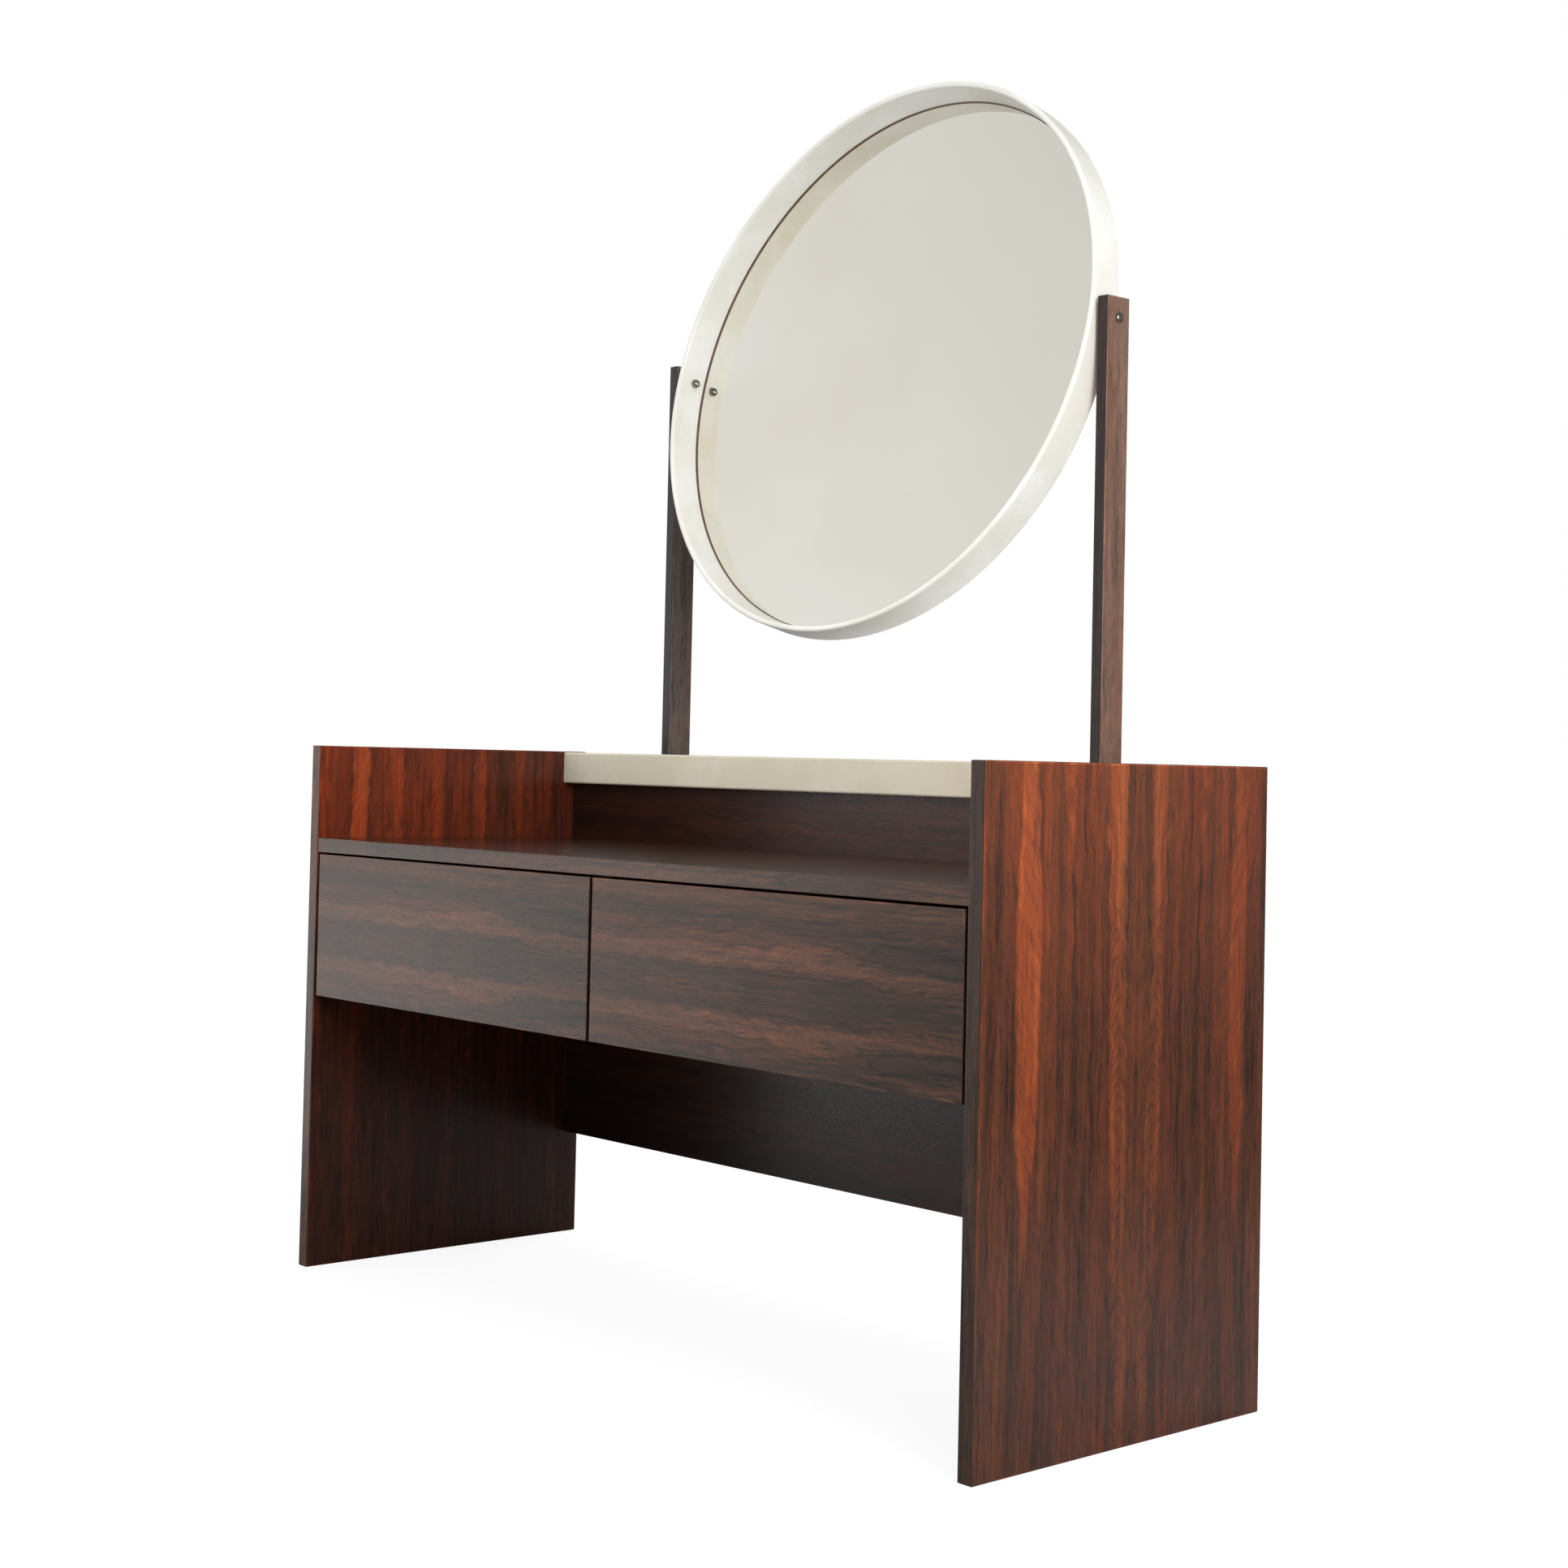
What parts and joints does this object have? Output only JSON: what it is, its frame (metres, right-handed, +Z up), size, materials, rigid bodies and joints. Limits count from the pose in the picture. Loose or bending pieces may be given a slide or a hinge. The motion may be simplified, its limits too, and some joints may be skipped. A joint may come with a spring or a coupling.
{
  "type": "dressing table",
  "caption": "Rosewood dressing table on side panels, with handleless hung drawers, a cream rail and a round white-framed mirror that tilts between posts.",
  "frame": {"origin": "on the floor, mid-width, in the middle of the overall depth with the mirror as it stands", "axes": "+X to the right seen from the front, +Y to the back, +Z up; the drawers face -Y"},
  "size_m": [1.2, 0.5488, 1.5561],
  "materials": {
    "rosewood": "satin lacquered veneer",
    "cream_lacquer": "satin cream lacquer",
    "white_lacquer": "satin white lacquer",
    "pale_wood": "oiled, fine grained",
    "brown_board": "plain hard board",
    "mirror_silver": "silvered glass",
    "nickel": "dulled nickel plate",
    "spacer_fibre": "matt",
    "screw_steel": "plain steel"
  },
  "bodies": {
    "carcase": {"dressing_top": "rosewood", "back_panel": "rosewood", "mirror_rail": "cream_lacquer", "centre_divider": "pale_wood", "top_dowels": "pale_wood", "rail_dowels": "pale_wood", "divider_dowels": "pale_wood", "back_panel_screws": "screw_steel", "cleat_screws": "screw_steel", "post_screws": "screw_steel", "runner_screws": "screw_steel", "stop_screws": "screw_steel", "left_side_panel": "rosewood", "right_side_panel": "rosewood", "left_cleat": "pale_wood", "right_cleat": "pale_wood", "left_outer_runner": "pale_wood", "right_outer_runner": "pale_wood", "left_inner_runner": "pale_wood", "right_inner_runner": "pale_wood", "left_drawer_stop": "pale_wood", "right_drawer_stop": "pale_wood", "left_post": "rosewood", "right_post": "rosewood", "left_pivot_bolt": "nickel", "right_pivot_bolt": "nickel", "left_pivot_spacer": "spacer_fibre", "right_pivot_spacer": "spacer_fibre", "left_cap_nut": "nickel", "right_cap_nut": "nickel"},
    "left_drawer": {"left_drawer_front": "rosewood", "left_drawer_outer_side": "pale_wood", "left_drawer_inner_side": "pale_wood", "left_drawer_back": "pale_wood", "left_drawer_bottom": "pale_wood", "left_drawer_dowels": "pale_wood"},
    "right_drawer": {"right_drawer_front": "rosewood", "right_drawer_outer_side": "pale_wood", "right_drawer_inner_side": "pale_wood", "right_drawer_back": "pale_wood", "right_drawer_bottom": "pale_wood", "right_drawer_dowels": "pale_wood"},
    "mirror": {"mirror_hoop": "white_lacquer", "mirror_glass": "mirror_silver", "mirror_backing": "brown_board", "backing_pins": "screw_steel"}
  },
  "joints": [
    {"name": "left_drawer_slide", "type": "slide", "parent": "carcase", "child": "left_drawer", "axis": [0, -1, 0], "range_m": [0, 0.3]},
    {"name": "right_drawer_slide", "type": "slide", "parent": "carcase", "child": "right_drawer", "axis": [0, -1, 0], "range_m": [0, 0.3]},
    {"name": "mirror_tilt", "type": "hinge", "parent": "carcase", "child": "mirror", "pos_m": [0, 0.1731, 1.2005], "axis": [1, 0, 0], "continuous": true}
  ]
}
